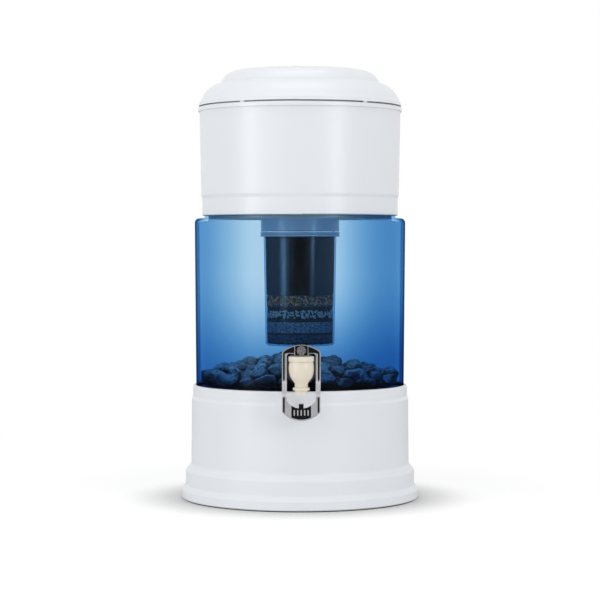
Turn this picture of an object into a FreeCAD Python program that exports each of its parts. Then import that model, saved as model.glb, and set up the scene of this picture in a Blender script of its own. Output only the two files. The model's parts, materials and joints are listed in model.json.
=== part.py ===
import FreeCAD, Part
import math
import os
import random

Vector = FreeCAD.Vector

# Gravity water filter with a push tap: a stepped stand, a clear tank with stones and a tap,
# a white tank on top of it with a dome filter and a hanging cartridge, and a vented lid.
# Millimetres, +Z up, the origin on the floor below the middle of the stand, the tap towards -Y.

# Clearances
lift_clearance = 0.5
thread_clearance = 0.05
hole_clearance = 0.4
slide_clearance = 0.08
fill_clearance = 0.2
cut_spare = 1.0

# Stand
foot_radius = 145.6
foot_edge_height = 10.7
foot_edge_round = 2.0
foot_bevel_height = 6.3
foot_bevel_round = 1.2
step_radius = 141.0
step_wall_height = 17.0
step_bevel_height = 8.0
step_lower_round = 3.0
step_upper_round = 1.5
stand_radius = 134.3
stand_draft = 0.8
stand_wall_height = 79.8
stand_corner_round = 4.0
stand_ledge_height = 3.7
stand_ledge_width = 1.5
stand_ledge_round = 1.0
stand_rim_height = 9.5
stand_wall = 3.0
deck_thickness = 3.0
tank_recess_depth = 4.0
lip_thickness = 3.5
lip_round = 2.6
rib_count = 8
rib_thickness = 2.5
rib_depth = 5.0
rib_bite = 2.5
hub_radius = 27.0
foot_ring_inner_radius = 139.5
foot_ring_width = 3.5
foot_ring_thickness = 3.0
foot_ring_proud = 1.0

# Clear lower tank
tank_bottom_radius = 128.0
tank_top_radius = 129.7
tank_body_height = 208.6
tank_wall = 4.0
tank_floor = 5.0
tank_bottom_round = 3.0
tank_shoulder_round = 6.0
tank_inner_round = 4.0
neck_outer_radius = 117.5
neck_inner_radius = 113.0
neck_height = 2.9
neck_round = 0.6

# White upper tank
upper_foot_radius = 120.4
upper_band_height = 21.0
upper_band_flare = 0.1
upper_seam_height = 4.1
upper_seam_radius = 121.6
upper_wall_height = 102.5
upper_top_radius = 123.6
upper_bead_radius = 125.2
upper_bead_height = 5.2
upper_bead_round = 1.2
upper_wall = 2.8
upper_floor = 3.0
upper_edge_round = 1.5
upper_inner_round = 3.0
locating_ring_depth = 4.0
locating_ring_wall = 2.4

# Lid
vent_gap = 1.4
tab_count = 5
tab_width = 6.0
tab_turn = 2.0
tab_outer_inset = 1.0
tab_inner_inset = 0.4
tab_bite = 0.5
lid_rim_radius = 124.9
lid_rim_height = 4.6
lid_rim_taper = 1.3
lid_rim_round = 0.6
lid_chamfer_height = 3.6
lid_chamfer_width = 2.2
lid_chamfer_round = 1.0
lid_shoulder_height = 20.2
lid_tier_radius = 98.0
lid_shoulder_bulge = 3.9
lid_tier_height = 14.8
lid_tier_bulge = 3.95
lid_crown_radius = 77.0
lid_crown_height = 1.2
lid_wall = 2.8
lid_skirt_wall = 2.5
lid_skirt_depth = 10.0
lid_skirt_round = 0.5

# Dome filter in the upper tank
dome_washer_thickness = 2.0
dome_washer_radius = 20.0
dome_plate_radius = 46.0
dome_plate_height = 6.0
dome_plate_round = 1.5
dome_radius = 41.0
dome_side_height = 40.0
dome_wall = 8.0
stem_radius = 10.0
stem_reach = 13.5
stem_bore_radius = 4.0
stem_bite = 1.0

# Cartridge under the upper tank
gasket_thickness = 1.0
gasket_radius = 24.0
head_radius = 48.3
head_height = 17.6
head_wall = 2.5
head_plate = 3.0
head_round = 1.5
head_boss_radius = 15.0
head_boss_height = 15.5
jar_flange_radius = 47.6
jar_flange_height = 1.4
jar_spigot_height = 7.0
ring_radius = 48.8
ring_height = 5.6
ring_groove = 0.8
ring_round = 0.5
jar_top_radius = 44.9
jar_bottom_radius = 42.4
jar_above_floor = 47.0
jar_wall = 2.0
jar_floor = 2.5
jar_bottom_round = 3.5
jar_drain_radius = 1.5
jar_drain_rings = 3
jar_drains_in_first_ring = 6
jar_drain_pitch = 9.0
bottom_screen_height = 1.9
zeolite_height = 9.5
separator_height = 2.5
sand_height = 13.1
ball_bed_height = 15.3
thin_separator_height = 0.7
granule_height = 14.4
top_screen_height = 2.0

# Tap
tap_height = 32.0
tap_reach = 171.0
tap_pad_proud = 2.5
tap_pad_margin = 1.0
tap_inner_pad_proud = 1.2
washer_radius = 19.5
washer_thickness = 3.0
inner_washer_radius = 13.0
inner_washer_thickness = 2.5
shank_radius = 8.0
shank_bore_radius = 5.0
shank_end_spare = 3.5
shank_flange_radius = 12.5
shank_flange_thickness = 3.0
nut_across_flats = 24.0
nut_thickness = 7.0
bulb_radius = 14.6
bulb_top_radius = 13.5
bulb_top_height = 9.8
bulb_middle_height = 1.8
bulb_drop = 9.0
bulb_lower_radius = 12.3
bulb_waist_drop = 13.2
bulb_waist_radius = 9.0
bulb_waist_round = 2.0
outlet_neck_radius = 7.5
outlet_neck_drop = 15.6
outlet_neck_end = 20.1
chamber_radius = 11.0
chamber_floor_drop = 8.0
chamber_round = 1.0
seat_height = 1.0
seat_outer_radius = 6.5
seat_radius = 4.2
nozzle_collar_radius = 9.65
nozzle_collar_height = 3.3
nozzle_collar_round = 0.8
nozzle_tip_radius = 7.1
nozzle_tip_height = 5.0
nozzle_tip_taper = 0.3
nozzle_spigot_radius = 5.9
nozzle_spigot_height = 4.0
bonnet_radius = 14.8
bonnet_height = 5.8
bonnet_round = 0.5
bonnet_plate = 3.0
bonnet_spigot_radius = 10.9
bonnet_spigot_wall = 1.9
bonnet_spigot_depth = 5.8
valve_stem_radius = 3.0
stem_over_pin = 2.0
plug_radius = 7.8
plug_height = 4.0
plug_socket = 2.0
plug_chamfer = 1.2
plug_round = 0.5
spring_radius = 5.4
spring_wire_radius = 0.5
spring_turns = 5

# Tap lever
lever_half_width = 22.15
rail_width = 5.5
lever_top_above_cap = 13.6
lever_arch_radius = 34.0
lever_shoulder_round = 4.5
lever_foot_radius = 29.0
lever_length = 89.0
lever_upper_thickness = 7.0
lever_lower_thickness = 6.0
lever_set_back = 13.0
lever_bend_top = 43.2
lever_bend_bottom = 59.2
lever_bend_round = 6.0
window_top_drop = 10.2
window_corner_round = 3.5
crescent_radius = 20.0
crescent_drop = 74.7
pad_notch_half_width = 2.8
pad_notch_drop = 68.5
block_half_width = 8.0
block_half_depth = 7.0
block_gap = 0.4
pivot_drop = 7.2
pin_radius = 1.5
pin_half_length = 7.5
stem_slot_half_length = 4.6
stem_slot_over_pin = 3.2
inlay_pocket_depth = 0.8
inlay_thickness = 0.6
outer_ridge = 1.1
inner_ridge = 2.3
window_ridge = 0.6
pad_ridge = 1.6
pad_recess = 0.8
pad_inlay_half_width = 11.4
block_ridge = 0.7
slot_point_length = 4.0
pad_rib_count = 5
pad_rib_width = 1.5
pad_rib_round = 0.65
pad_rib_pitch = 4.0
pad_rib_height = 6.5
pad_rib_rise = 6.2
pad_rib_proud = 0.6
disc_radius = 5.2
disc_thickness = 0.9
disc_drop = 6.65

# Stones on the floor of the lower tank
stone_seed = 11
stone_small_radius = 8.5
stone_large_radius = 17.0
stone_flatness = 0.66
stone_rim_share = 0.45
stone_touch_gap = 0.03
stone_wall_gap = 0.6
stone_tap_gap = 1.0
heap_edge_height = 18.0
heap_crown_height = 42.0
stone_limit = 320
stone_tries = 40


class Via:
    """A point that the outline's arc passes through between two corners."""

    def __init__(self, u, v):
        self.u = u
        self.v = v


def rounded_corner(before, corner, after, radius):
    """Start, middle and end of the arc that rounds a corner of an outline."""
    to_before = (before - corner).normalize()
    to_after = (after - corner).normalize()
    half_angle = to_before.getAngle(to_after) / 2
    reach = radius / math.tan(half_angle)
    bisector = (to_before + to_after).normalize()
    middle = corner + bisector * (radius / math.sin(half_angle) - radius)
    return corner + to_before * reach, middle, corner + to_after * reach


def closed_wire(points, place):
    """A closed wire of lines and arcs. A point is (u, v), (u, v, rounding) or a Via."""
    spots = [place(p.u, p.v) if isinstance(p, Via) else place(p[0], p[1]) for p in points]
    starts, ends, edges = [], [], []
    for i, point in enumerate(points):
        if isinstance(point, Via) or len(point) < 3:
            starts.append(spots[i])
            ends.append(spots[i])
            continue
        begin, middle, end = rounded_corner(
            spots[i - 1], spots[i], spots[(i + 1) % len(points)], point[2]
        )
        edges.append(Part.Arc(begin, middle, end).toShape())
        starts.append(end)
        ends.append(begin)
    for i, point in enumerate(points):
        following = (i + 1) % len(points)
        if isinstance(point, Via):
            continue
        if isinstance(points[following], Via):
            after = (following + 1) % len(points)
            edges.append(Part.Arc(starts[i], spots[following], ends[after]).toShape())
        elif starts[i].distanceToPoint(ends[following]) > 1e-6:
            edges.append(Part.LineSegment(starts[i], ends[following]).toShape())
    return Part.Wire(Part.__sortEdges__(edges))


def outward(solid):
    """The solid with its faces turned outwards."""
    if solid.Volume < 0:
        solid.reverse()
    return solid


def lathe(points):
    """A solid turned about the Z axis from an outline of (radius, height)."""
    face = Part.Face(closed_wire(points, lambda r, z: Vector(r, 0, z)))
    return outward(face.revolve(Vector(0, 0, 0), Vector(0, 0, 1), 360))


def front_plate(points, front, back):
    """A plate that faces -Y, from an outline of (x, z)."""
    face = Part.Face(closed_wire(points, lambda x, z: Vector(x, front, z)))
    return face.extrude(Vector(0, back - front, 0))


def tube(outer, inner, bottom, top):
    return lathe([(inner, bottom), (outer, bottom), (outer, top), (inner, top)])


def disc(radius, bottom, top):
    return Part.makeCylinder(radius, top - bottom, Vector(0, 0, bottom))


def along_y(radius, front, back, x, z):
    """A cylinder that runs towards +Y."""
    return Part.makeCylinder(radius, back - front, Vector(x, front, z), Vector(0, 1, 0))


def block(low, high):
    size = high - low
    return Part.makeBox(size.x, size.y, size.z, low)


def turned(shape, degrees):
    """A copy of the shape, turned about the Z axis."""
    copy = shape.copy()
    copy.rotate(Vector(0, 0, 0), Vector(0, 0, 1), degrees)
    return copy


def on_tap(shape):
    """A copy of the shape, moved from the Z axis to the axis of the tap's spout."""
    copy = shape.copy()
    copy.translate(Vector(0, -tap_reach, 0))
    return copy


def write(name, shape):
    solids = shape.Solids
    for solid in solids:
        if not solid.isValid():
            raise ValueError(name + " has a solid that isn't valid")
    result = solids[0] if len(solids) == 1 else Part.makeCompound(solids)
    result.exportStep("parts/" + name + ".step")


# Heights that follow from the sizes above

foot_top = foot_ring_proud + foot_edge_height
step_bottom = foot_top + foot_bevel_height
step_top = step_bottom + step_wall_height
stand_bottom = step_top + step_bevel_height
ledge_bottom = stand_bottom + stand_wall_height
ledge_top = ledge_bottom + stand_ledge_height
deck_top = ledge_top + stand_rim_height
lip_top = deck_top + tank_recess_depth
foot_ring_outer_radius = foot_ring_inner_radius + foot_ring_width
recess_radius = tank_bottom_radius + lift_clearance
rim_radius = recess_radius + lip_thickness

tank_inside = deck_top + tank_floor
tank_top = deck_top + tank_body_height
neck_top = tank_top + neck_height
tank_slope = (tank_top_radius - tank_bottom_radius) / tank_body_height

upper_inside = neck_top + upper_floor
band_top = neck_top + upper_band_height
seam_top = band_top + upper_seam_height
bead_bottom = seam_top + upper_wall_height
bead_top = bead_bottom + upper_bead_height
band_radius = upper_foot_radius + upper_band_flare
mouth_radius = upper_top_radius - upper_wall
ring_outer_radius = neck_inner_radius - hole_clearance

lid_bottom = bead_top + vent_gap
stem_hole_radius = stem_radius + hole_clearance
dome_plate_bottom = upper_inside + dome_washer_thickness
dome_plate_top = dome_plate_bottom + dome_plate_height
head_top = neck_top - gasket_thickness
head_bottom = head_top - head_height
ring_top = head_bottom - jar_flange_height
ring_bottom = ring_top - ring_height
jar_bottom = tank_inside + jar_above_floor
jar_height = ring_bottom - jar_bottom

tap_axis = deck_top + tap_height
bonnet_bottom = tap_axis + bulb_top_height
bonnet_top = bonnet_bottom + bonnet_height
chamber_floor = tap_axis - chamber_floor_drop
plug_bottom = chamber_floor + seat_height
plug_top = plug_bottom + plug_height
spring_top = bonnet_top - bonnet_plate
tank_front = tank_bottom_radius + tank_slope * tap_height
tap_pad_front = -(tank_front + tap_pad_proud)
tap_pad_back = -(tank_front - tank_wall - tap_inner_pad_proud)
washer_front = tap_pad_front - washer_thickness
inner_washer_back = tap_pad_back + inner_washer_thickness
nut_back = inner_washer_back + nut_thickness

lever_top = bonnet_top + lever_top_above_cap
lever_bottom = lever_top - lever_length
arch_middle = lever_top - lever_arch_radius
pivot_height = lever_top - pivot_drop
upper_front = -tap_reach - lever_upper_thickness / 2
upper_back = -tap_reach + lever_upper_thickness / 2
lower_front = -tap_reach + lever_set_back - lever_lower_thickness / 2
lower_back = -tap_reach + lever_set_back + lever_lower_thickness / 2
pad_front = lower_front + pad_recess
block_front = -tap_reach - block_half_depth
window_half_width = lever_half_width - rail_width
window_top = lever_top - window_top_drop


# Stand

def base_shell():
    draft_radius = stand_radius - stand_draft
    ledge_radius = draft_radius - stand_ledge_width
    return lathe([
        (0, deck_top),
        (recess_radius, deck_top),
        (recess_radius, lip_top),
        (rim_radius, lip_top, lip_round),
        (ledge_radius, ledge_top, stand_ledge_round),
        (draft_radius, ledge_bottom, stand_ledge_round),
        (stand_radius, stand_bottom, stand_corner_round),
        (step_radius, step_top, step_upper_round),
        (step_radius, step_bottom, step_lower_round),
        (foot_radius, foot_top, foot_bevel_round),
        (foot_radius, foot_ring_proud, foot_edge_round),
        (foot_ring_outer_radius, foot_ring_proud),
        (foot_ring_outer_radius, foot_ring_thickness),
        (foot_ring_inner_radius, foot_ring_thickness),
        (foot_ring_inner_radius, foot_ring_proud),
        (step_radius - stand_wall, foot_ring_proud),
        (step_radius - stand_wall, step_top),
        (stand_radius - stand_wall, stand_bottom),
        (draft_radius - stand_wall, ledge_bottom),
        (ledge_radius - stand_wall, ledge_top),
        (rim_radius - stand_wall, deck_top - deck_thickness),
        (0, deck_top - deck_thickness),
    ])


def with_ribs(shell):
    """The shell with a hub and radial ribs under its deck."""
    rib_top = deck_top - deck_thickness / 2
    rib_bottom = deck_top - deck_thickness - rib_depth
    rib_end = rim_radius - stand_wall + rib_bite
    hub = tube(hub_radius, hub_radius - rib_thickness, rib_bottom, rib_top)
    rib = block(
        Vector(hub_radius - rib_thickness / 2, -rib_thickness / 2, rib_bottom),
        Vector(rib_end, rib_thickness / 2, rib_top),
    )
    ribs = [turned(rib, i * 360 / rib_count) for i in range(rib_count)]
    return shell.fuse(hub.fuse(ribs)).removeSplitter()


def base_foot_ring():
    return tube(foot_ring_outer_radius, foot_ring_inner_radius, 0, foot_ring_thickness)


# Lower tank

def lower_tank_shell():
    inner_bottom_radius = tank_bottom_radius - tank_wall
    inner_top_radius = tank_top_radius - tank_wall
    shell = lathe([
        (0, deck_top),
        (tank_bottom_radius, deck_top, tank_bottom_round),
        (tank_top_radius, tank_top, tank_shoulder_round),
        (neck_outer_radius, tank_top),
        (neck_outer_radius, neck_top, neck_round),
        (neck_inner_radius, neck_top, neck_round),
        (neck_inner_radius, tank_top - tank_wall),
        (inner_top_radius, tank_top - tank_wall, tank_inner_round),
        (inner_bottom_radius, tank_inside, tank_inner_round),
        (0, tank_inside),
    ])
    middle = -(tank_front - tank_wall / 2)
    outer_pad = along_y(washer_radius + tap_pad_margin, tap_pad_front, middle, 0, tap_axis)
    inner_pad_radius = inner_washer_radius + tap_pad_margin
    inner_pad = along_y(inner_pad_radius, middle, tap_pad_back, 0, tap_axis)
    hole_radius = shank_radius + hole_clearance / 2
    hole = along_y(
        hole_radius, tap_pad_front - cut_spare, tap_pad_back + cut_spare, 0, tap_axis
    )
    return shell.fuse([outer_pad, inner_pad]).cut(hole).removeSplitter()


def stone(radius):
    """A rounded stone: an oval of a tight arc at its rim and a wide arc over its top and bottom."""
    half = radius * stone_flatness
    rim = radius * stone_rim_share
    crown = (radius * radius + half * half - 2 * radius * rim) / (2 * (half - rim))
    lean = math.atan2(radius - rim, crown - half)
    join_radius = radius - rim + rim * math.sin(lean)
    join_height = rim * math.cos(lean)
    cap_radius = crown * math.sin(lean / 2)
    cap_height = half - crown + crown * math.cos(lean / 2)
    return lathe([
        (0, -half),
        Via(cap_radius, -cap_height),
        (join_radius, -join_height),
        Via(radius, 0),
        (join_radius, join_height),
        Via(cap_radius, cap_height),
        (0, half),
    ])


def resting_height(x, y, radius, placed):
    """The height of a stone's middle when it comes straight down on the floor or on others."""
    height = tank_inside + radius * stone_flatness
    for other_x, other_y, other_height, other_radius in placed:
        reach = radius + other_radius + stone_touch_gap
        apart = math.hypot(x - other_x, y - other_y)
        if apart < reach:
            rise = stone_flatness * math.sqrt(reach * reach - apart * apart)
            height = max(height, other_height + rise)
    return height


def under_tap(x, y, radius, top):
    """Whether a stone would reach the nut or the shank inside the tank."""
    nut_reach = nut_across_flats / math.sqrt(3)
    behind = nut_back + shank_end_spare + radius
    over = top > tap_axis - nut_reach - stone_tap_gap
    return over and abs(x) < nut_reach + radius and y < behind


def heap_of_stones():
    """Stones that lie on the floor and on each other, in a heap that is highest in the middle."""
    chance = random.Random(stone_seed)
    inner_radius = tank_bottom_radius - tank_wall
    placed = []
    for _ in range(stone_limit):
        best = None
        radius = chance.uniform(stone_small_radius, stone_large_radius)
        for _ in range(stone_tries):
            turn = chance.uniform(0, 2 * math.pi)
            room = inner_radius - stone_wall_gap - radius
            out = room * math.sqrt(chance.random())
            x = out * math.cos(turn)
            y = out * math.sin(turn)
            height = resting_height(x, y, radius, placed)
            top = height + radius * stone_flatness
            share = 1 - out / inner_radius
            limit = heap_edge_height + (heap_crown_height - heap_edge_height) * share
            if top > tank_inside + limit or under_tap(x, y, radius, top):
                continue
            if best is None or height < best[2]:
                best = (x, y, height, radius)
        if best:
            placed.append(best)
    solids = []
    for x, y, height, radius in placed:
        solid = stone(radius)
        solid.translate(Vector(x, y, height))
        solids.append(solid)
    return Part.makeCompound(solids)


# Upper tank and lid

def upper_tank_shell():
    seam_inner = upper_seam_radius - upper_wall
    shell = lathe([
        (stem_hole_radius, neck_top),
        (upper_foot_radius, neck_top, upper_edge_round),
        (band_radius, band_top),
        (upper_seam_radius, seam_top),
        (upper_top_radius, bead_bottom),
        (upper_bead_radius, bead_bottom),
        (upper_bead_radius, bead_top, upper_bead_round),
        (mouth_radius, bead_top),
        (mouth_radius, bead_bottom),
        (seam_inner, seam_top),
        (band_radius - upper_wall, band_top),
        (upper_foot_radius - upper_wall, upper_inside, upper_inner_round),
        (stem_hole_radius, upper_inside),
    ])
    ring = tube(
        ring_outer_radius,
        ring_outer_radius - locating_ring_wall,
        neck_top - locating_ring_depth,
        neck_top + upper_floor / 2,
    )
    return shell.fuse(ring).removeSplitter()


def swelling(start, end, bulge):
    """The point that an arc from start to end passes through, bulging up and outwards."""
    rise = end - start
    swell = Vector(rise.z, 0, -rise.x).normalize()
    middle = (start + end) * 0.5 + swell * bulge
    return Via(middle.x, middle.z)


def lid_shell():
    rim_top = lid_bottom + lid_rim_height
    rim_top_radius = lid_rim_radius - lid_rim_taper
    shoulder_bottom = rim_top + lid_chamfer_height
    shoulder_radius = rim_top_radius - lid_chamfer_width
    tier_bottom = shoulder_bottom + lid_shoulder_height
    tier_top = tier_bottom + lid_tier_height
    crown = tier_top + lid_crown_height
    shoulder = Vector(shoulder_radius, 0, shoulder_bottom)
    tier = Vector(lid_tier_radius, 0, tier_bottom)
    edge = Vector(lid_crown_radius, 0, tier_top)
    skirt_radius = mouth_radius - lift_clearance
    inner_skirt = skirt_radius - lid_skirt_wall
    shell = lathe([
        (lid_rim_radius, lid_bottom, lid_rim_round),
        (rim_top_radius, rim_top, lid_chamfer_round),
        (shoulder_radius, shoulder_bottom),
        swelling(shoulder, tier, lid_shoulder_bulge),
        (lid_tier_radius, tier_bottom),
        swelling(tier, edge, lid_tier_bulge),
        (lid_crown_radius, tier_top),
        (0, crown),
        (0, crown - lid_wall),
        (lid_crown_radius, tier_top - lid_wall),
        swelling(tier, edge, lid_tier_bulge - lid_wall),
        (lid_tier_radius - lid_wall, tier_bottom - lid_wall),
        swelling(shoulder, tier, lid_shoulder_bulge - lid_wall),
        (inner_skirt, shoulder_bottom - lid_wall),
        (inner_skirt, lid_bottom - lid_skirt_depth),
        (skirt_radius, lid_bottom - lid_skirt_depth, lid_skirt_round),
        (skirt_radius, lid_bottom),
    ])
    tab_ring = tube(
        upper_bead_radius - tab_outer_inset,
        mouth_radius + tab_inner_inset,
        bead_top,
        lid_bottom + tab_bite,
    )
    slab = block(
        Vector(-tab_width / 2, -upper_bead_radius, bead_top),
        Vector(tab_width / 2, 0, lid_bottom + tab_bite),
    )
    tab = tab_ring.common(slab)
    turns = [tab_turn + (i + 0.5) * 360 / tab_count for i in range(tab_count)]
    return shell.fuse([turned(tab, turn) for turn in turns]).removeSplitter()


# Dome filter

def dome_base():
    plate = lathe([
        (stem_bore_radius, dome_plate_bottom),
        (dome_plate_radius, dome_plate_bottom, dome_plate_round),
        (dome_plate_radius, dome_plate_top, dome_plate_round),
        (stem_bore_radius, dome_plate_top),
    ])
    stem = tube(stem_radius, stem_bore_radius, head_top - stem_reach, dome_plate_bottom + stem_bite)
    return plate.fuse(stem).removeSplitter()


def ceramic_dome():
    side_top = dome_plate_top + dome_side_height
    inner_radius = dome_radius - dome_wall
    diagonal = math.sqrt(0.5)
    return lathe([
        (inner_radius, dome_plate_top),
        (dome_radius, dome_plate_top),
        (dome_radius, side_top),
        Via(dome_radius * diagonal, side_top + dome_radius * diagonal),
        (0, side_top + dome_radius),
        (0, side_top + inner_radius),
        Via(inner_radius * diagonal, side_top + inner_radius * diagonal),
        (inner_radius, side_top),
    ])


# Cartridge

def cartridge_head():
    inner_radius = head_radius - head_wall
    bore = stem_radius + thread_clearance
    return lathe([
        (bore, head_top),
        (head_radius, head_top, head_round),
        (head_radius, head_bottom),
        (inner_radius, head_bottom),
        (inner_radius, head_top - head_plate),
        (head_boss_radius, head_top - head_plate),
        (head_boss_radius, head_top - head_boss_height),
        (bore, head_top - head_boss_height),
    ])


def jar_radius(height):
    """The jar's outer radius at a height, which tapers towards its floor."""
    share = (height - jar_bottom) / jar_height
    return jar_bottom_radius + (jar_top_radius - jar_bottom_radius) * share


def cartridge_jar():
    spigot_radius = head_radius - head_wall - thread_clearance * 2
    spigot_top = head_bottom + jar_spigot_height
    jar = lathe([
        (0, jar_bottom),
        (jar_bottom_radius, jar_bottom, jar_bottom_round),
        (jar_top_radius, ring_bottom),
        (jar_top_radius, ring_top),
        (jar_flange_radius, ring_top),
        (jar_flange_radius, head_bottom),
        (spigot_radius, head_bottom),
        (spigot_radius, spigot_top),
        (jar_top_radius - jar_wall, spigot_top),
        (jar_top_radius - jar_wall, ring_bottom),
        (jar_bottom_radius - jar_wall, jar_bottom + jar_floor),
        (0, jar_bottom + jar_floor),
    ])
    drains = []
    for ring in range(1, jar_drain_rings + 1):
        count = ring * jar_drains_in_first_ring
        for i in range(count):
            drain = disc(
                jar_drain_radius, jar_bottom - cut_spare, jar_bottom + jar_floor + cut_spare
            )
            drain.translate(Vector(ring * jar_drain_pitch, 0, 0))
            drains.append(turned(drain, i * 360 / count))
    return jar.cut(drains)


def cartridge_ring():
    middle = (ring_bottom + ring_top) / 2
    inner = jar_top_radius + thread_clearance
    return lathe([
        (inner, ring_bottom),
        (ring_radius, ring_bottom, ring_round),
        (ring_radius, middle - ring_groove),
        (ring_radius - ring_groove, middle),
        (ring_radius, middle + ring_groove),
        (ring_radius, ring_top, ring_round),
        (inner, ring_top),
    ])


def filling(bottom, height):
    """A layer that fills the jar between two heights."""
    inset = jar_wall + fill_clearance
    top = bottom + height
    return lathe([
        (0, bottom),
        (jar_radius(bottom) - inset, bottom),
        (jar_radius(top) - inset, top),
        (0, top),
    ])


def cartridge_layers():
    """The layers in the jar, from its floor upwards. The carbon takes what the others leave."""
    order = [
        ("cartridge_bottom_screen", bottom_screen_height),
        ("zeolite_layer", zeolite_height),
        ("cartridge_separators", separator_height),
        ("silica_sand", sand_height),
        ("cartridge_separators", separator_height),
        ("ceramic_ball_bed", ball_bed_height),
        ("cartridge_separators", thin_separator_height),
        ("mineral_granules", granule_height),
        ("carbon_bed", None),
        ("cartridge_top_screen", top_screen_height),
    ]
    layers = {}
    bottom = jar_bottom + jar_floor
    carbon_height = ring_bottom - bottom - sum(height for _, height in order if height)
    for name, height in order:
        height = height or carbon_height
        layers.setdefault(name, []).append(filling(bottom, height))
        bottom += height
    return layers


# Tap

def tap_body():
    bulb_bottom = tap_axis - bulb_drop
    waist = tap_axis - bulb_waist_drop
    neck_start = tap_axis - outlet_neck_drop
    neck_end = tap_axis - outlet_neck_end
    socket_top = neck_end + nozzle_spigot_height
    socket_radius = nozzle_spigot_radius + thread_clearance
    bulb = lathe([
        (chamber_radius, bonnet_bottom),
        (bulb_top_radius, bonnet_bottom),
        Via(bulb_radius, tap_axis + bulb_middle_height),
        (bulb_lower_radius, bulb_bottom),
        (bulb_waist_radius, waist, bulb_waist_round),
        (outlet_neck_radius, neck_start, bulb_waist_round),
        (outlet_neck_radius, neck_end),
        (socket_radius, neck_end),
        (socket_radius, socket_top),
        (seat_radius, socket_top),
        (seat_radius, plug_bottom),
        (seat_outer_radius, plug_bottom),
        (seat_outer_radius, chamber_floor),
        (chamber_radius, chamber_floor, chamber_round),
    ])
    shank_end = nut_back + shank_end_spare
    shank = along_y(shank_radius, -tap_reach, shank_end, 0, tap_axis)
    flange_front = washer_front - shank_flange_thickness
    flange = along_y(shank_flange_radius, flange_front, washer_front, 0, tap_axis)
    chamber = disc(chamber_radius, chamber_floor, bonnet_bottom)
    outside = shank.fuse(flange).cut(on_tap(chamber))
    bore = along_y(shank_bore_radius, -tap_reach, shank_end, 0, tap_axis)
    return on_tap(bulb).fuse(outside).cut(bore).removeSplitter()


def tap_nozzle():
    collar_top = tap_axis - outlet_neck_end
    collar_bottom = collar_top - nozzle_collar_height
    tip_bottom = collar_bottom - nozzle_tip_height
    return on_tap(lathe([
        (seat_radius, tip_bottom),
        (nozzle_tip_radius - nozzle_tip_taper, tip_bottom),
        (nozzle_tip_radius, collar_bottom),
        (nozzle_collar_radius, collar_bottom, nozzle_collar_round),
        (nozzle_collar_radius, collar_top, nozzle_collar_round),
        (nozzle_spigot_radius, collar_top),
        (nozzle_spigot_radius, collar_top + nozzle_spigot_height),
        (seat_radius, collar_top + nozzle_spigot_height),
    ]))


def tap_bonnet():
    spigot_bottom = bonnet_bottom - bonnet_spigot_depth
    spigot_bore = bonnet_spigot_radius - bonnet_spigot_wall
    stem_bore = valve_stem_radius + slide_clearance
    return on_tap(lathe([
        (stem_bore, bonnet_top),
        (bonnet_radius, bonnet_top, bonnet_round),
        (bonnet_radius, bonnet_bottom, bonnet_round),
        (bonnet_spigot_radius, bonnet_bottom),
        (bonnet_spigot_radius, spigot_bottom),
        (spigot_bore, spigot_bottom),
        (spigot_bore, spring_top),
        (stem_bore, spring_top),
    ]))


def shank_hole(front, back):
    """The cutter for the hole of a piece that sits on the shank."""
    radius = shank_radius + thread_clearance
    return along_y(radius, front - cut_spare, back + cut_spare, 0, tap_axis)


def tap_washer(radius, front, back):
    solid = along_y(radius, front, back, 0, tap_axis)
    return solid.cut(shank_hole(front, back))


def tap_nut():
    corner = nut_across_flats / math.sqrt(3)
    angles = [math.radians(60 * i) for i in range(6)]
    points = [(corner * math.cos(a), tap_axis + corner * math.sin(a)) for a in angles]
    body = front_plate(points, inner_washer_back, nut_back)
    return body.cut(shank_hole(inner_washer_back, nut_back))


def tap_stem():
    top = pivot_height + pin_radius + stem_over_pin
    stem = on_tap(disc(valve_stem_radius, plug_top - plug_socket, top))
    return stem.cut(pivot_bore(pin_radius, -valve_stem_radius * 2, valve_stem_radius * 2))


def pivot_bore(radius, left, right):
    start = Vector(left, -tap_reach, pivot_height)
    return Part.makeCylinder(radius, right - left, start, Vector(1, 0, 0))


def tap_valve_plug():
    socket_floor = plug_top - plug_socket
    return on_tap(lathe([
        (0, plug_bottom),
        (seat_outer_radius, plug_bottom),
        (plug_radius, plug_bottom + plug_chamfer),
        (plug_radius, plug_top, plug_round),
        (valve_stem_radius, plug_top),
        (valve_stem_radius, socket_floor),
        (0, socket_floor),
    ]))


def arc_from(start, tangent, end):
    """The arc that leaves start along a tangent and arrives at end."""
    chord = end - start
    angle = tangent.getAngle(chord)
    along = Vector(chord).normalize()
    sideways = (tangent - along * tangent.dot(along)).normalize()
    middle = start + chord * 0.5 + sideways * (chord.Length / 2 * math.tan(angle / 2))
    return Part.Arc(start, middle, end).toShape()


def biarc(start, start_tangent, end, end_tangent):
    """Two arcs that meet smoothly and carry one tangent into the other."""
    across = end - start
    both = start_tangent + end_tangent
    spread = 2 * (1 - start_tangent.dot(end_tangent))
    lean = across.dot(both)
    reach = (math.sqrt(lean * lean + spread * across.dot(across)) - lean) / spread
    middle = (start + end + (start_tangent - end_tangent) * reach) * 0.5
    first = arc_from(start, start_tangent, middle)
    second = arc_from(end, end_tangent * -1, middle)
    return [first, second]


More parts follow.
